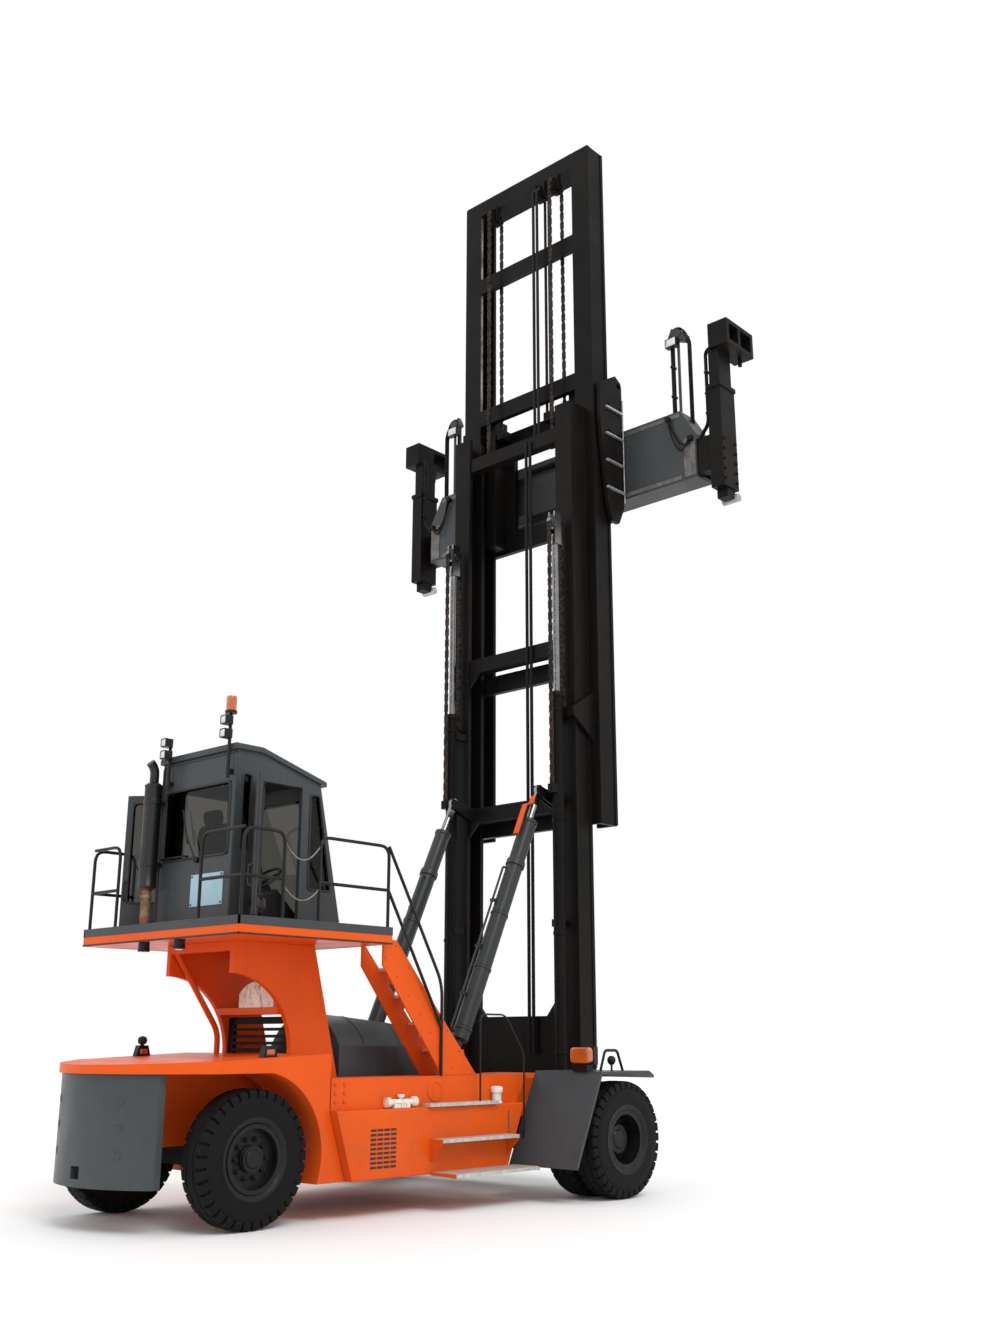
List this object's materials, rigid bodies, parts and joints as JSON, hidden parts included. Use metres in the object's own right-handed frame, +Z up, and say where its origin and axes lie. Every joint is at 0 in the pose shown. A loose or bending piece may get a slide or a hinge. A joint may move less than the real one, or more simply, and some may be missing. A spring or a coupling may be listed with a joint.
{
  "type": "empty container handler",
  "caption": "Yard vehicle that stacks empty freight containers: raised cab, two-stage chain-lift mast and a telescoping side spreader on its carriage.",
  "frame": {"origin": "on the ground under the middle of the overall box", "axes": "+X forward towards the mast, +Y to the left, +Z up"},
  "size_m": [7.5599, 6.12, 14.3],
  "materials": {
    "orange": "gloss",
    "charcoal": "satin",
    "mast_black": "satin",
    "tread_metal": "brushed",
    "cast": "matte",
    "glass": "gloss",
    "tyre": "matte",
    "rim": "satin",
    "rod": "gloss",
    "chain": "satin",
    "hose": "matte",
    "trim": "matte",
    "lamp": "gloss",
    "intake": "matte",
    "steel": "satin"
  },
  "bodies": {
    "chassis": {"cab_front_wall": "charcoal", "cab_glass": "glass", "cab_interior": "trim", "cab_rear_wall": "charcoal", "cab_roof": "charcoal", "cab_wall_left": "charcoal", "cab_wall_right": "charcoal", "chassis_frame": "orange", "counterweight": "charcoal", "engine_block": "cast", "engine_hood": "charcoal", "exhaust": "steel", "front_axle": "mast_black", "front_fenders": "charcoal", "intake_box": "intake", "lamps": "lamp", "pedestal": "orange", "platform": "orange", "radiator_grille": "charcoal", "railings": "mast_black", "rear_cover": "orange", "side_box_left": "orange", "side_box_right": "orange", "stair_stringers": "orange", "steer_axle": "mast_black", "step_treads": "tread_metal"},
    "wheel_front_left": {"tyres_front_left": "tyre", "rims_front_left": "rim"},
    "wheel_front_right": {"tyres_front_right": "tyre", "rims_front_right": "rim"},
    "knuckle_left": {"knuckle_left": "mast_black"},
    "knuckle_right": {"knuckle_right": "mast_black"},
    "wheel_rear_left": {"tyre_rear_left": "tyre", "rim_rear_left": "rim"},
    "wheel_rear_right": {"tyre_rear_right": "tyre", "rim_rear_right": "rim"},
    "mast_outer": {"outer_upright_left": "mast_black", "outer_upright_right": "mast_black", "outer_crossbars": "mast_black", "lift_barrels": "mast_black", "mast_hoses": "hose", "lift_chains_rear": "chain", "carriage_chains_up": "chain"},
    "lift_rods": {"lift_rods": "rod"},
    "mast_inner": {"inner_upright_left": "mast_black", "inner_upright_right": "mast_black", "inner_crossbars": "mast_black", "lift_chains_front": "chain"},
    "carriage": {"carriage": "mast_black", "carriage_chains_down": "chain"},
    "spreader": {"spreader_beam": "charcoal"},
    "arm_left": {"arm_left": "charcoal"},
    "arm_right": {"arm_right": "charcoal"},
    "tilt_barrels": {"tilt_barrels": "mast_black"},
    "tilt_rods": {"tilt_rods": "rod"},
    "door_left": {"door_left": "charcoal", "door_glass_left": "glass"},
    "door_right": {"door_right": "charcoal", "door_glass_right": "glass"}
  },
  "joints": [
    {"name": "wheel_front_left_spin", "type": "hinge", "parent": "chassis", "child": "wheel_front_left", "pos_m": [1.72, 1.79, 0.613], "axis": [0, 1, 0], "continuous": true},
    {"name": "wheel_front_right_spin", "type": "hinge", "parent": "chassis", "child": "wheel_front_right", "pos_m": [1.72, -1.79, 0.613], "axis": [0, 1, 0], "continuous": true},
    {"name": "steer_left", "type": "hinge", "parent": "chassis", "child": "knuckle_left", "pos_m": [-2.63, 0.8, 0.613], "axis": [0, 0, 1], "range_deg": [-50, 50]},
    {"name": "steer_right", "type": "hinge", "parent": "chassis", "child": "knuckle_right", "pos_m": [-2.63, -0.8, 0.613], "axis": [0, 0, 1], "range_deg": [-50, 50]},
    {"name": "wheel_rear_left_spin", "type": "hinge", "parent": "knuckle_left", "child": "wheel_rear_left", "pos_m": [-2.63, 1.02, 0.613], "axis": [0, 1, 0], "continuous": true},
    {"name": "wheel_rear_right_spin", "type": "hinge", "parent": "knuckle_right", "child": "wheel_rear_right", "pos_m": [-2.63, -1.02, 0.613], "axis": [0, 1, 0], "continuous": true},
    {"name": "mast_tilt", "type": "hinge", "parent": "chassis", "child": "mast_outer", "pos_m": [2.14, 0, 0.62], "axis": [0, 1, 0], "range_deg": [-4, 3]},
    {"name": "tilt_barrels_swing", "type": "hinge", "parent": "chassis", "child": "tilt_barrels", "pos_m": [0.42, 0, 1.49], "axis": [0, 1, 0], "range_deg": [-4.38, 3.36]},
    {"name": "tilt_rods_slide", "type": "slide", "parent": "tilt_barrels", "child": "tilt_rods", "axis": [0.4232, 0, 0.906], "range_m": [-0.1445, 0.1109]},
    {"name": "mast_lift", "type": "slide", "parent": "mast_outer", "child": "mast_inner", "axis": [0, 0, 1], "range_m": [-4, 3.3], "deforming": ["lift_chains_front", "carriage_chains_up"]},
    {"name": "lift_rods_slide", "type": "slide", "parent": "mast_outer", "child": "lift_rods", "axis": [0, 0, 1], "range_m": [-2.05, 1.7], "deforming": ["lift_chains_rear"]},
    {"name": "carriage_slide", "type": "slide", "parent": "mast_inner", "child": "carriage", "axis": [0, 0, 1], "range_m": [-4.02, 3.32], "deforming": ["carriage_chains_down"]},
    {"name": "sideshift", "type": "slide", "parent": "carriage", "child": "spreader", "axis": [0, 1, 0], "range_m": [-0.3, 0.3]},
    {"name": "arm_left_slide", "type": "slide", "parent": "spreader", "child": "arm_left", "axis": [0, 1, 0], "range_m": [0, 3.05]},
    {"name": "arm_right_slide", "type": "slide", "parent": "spreader", "child": "arm_right", "axis": [0, -1, 0], "range_m": [0, 3.05]},
    {"name": "door_left_hinge", "type": "hinge", "parent": "chassis", "child": "door_left", "pos_m": [-2.41, 0.656, 3.5], "axis": [0, 0, -1], "range_deg": [0, 130]},
    {"name": "door_right_hinge", "type": "hinge", "parent": "chassis", "child": "door_right", "pos_m": [-2.41, -0.656, 3.5], "axis": [0, 0, 1], "range_deg": [0, 130]}
  ],
  "couplings": [
    {"joint": "steer_right", "follows": "steer_left", "ratio": 1},
    {"joint": "tilt_barrels_swing", "follows": "mast_tilt", "ratio": 1.021},
    {"joint": "tilt_rods_slide", "follows": "mast_tilt", "m_per_rad": 1.9266},
    {"joint": "lift_rods_slide", "follows": "mast_lift", "ratio": 0.5},
    {"joint": "carriage_slide", "follows": "mast_lift", "ratio": 1},
    {"joint": "arm_right_slide", "follows": "arm_left_slide", "ratio": 1}
  ]
}
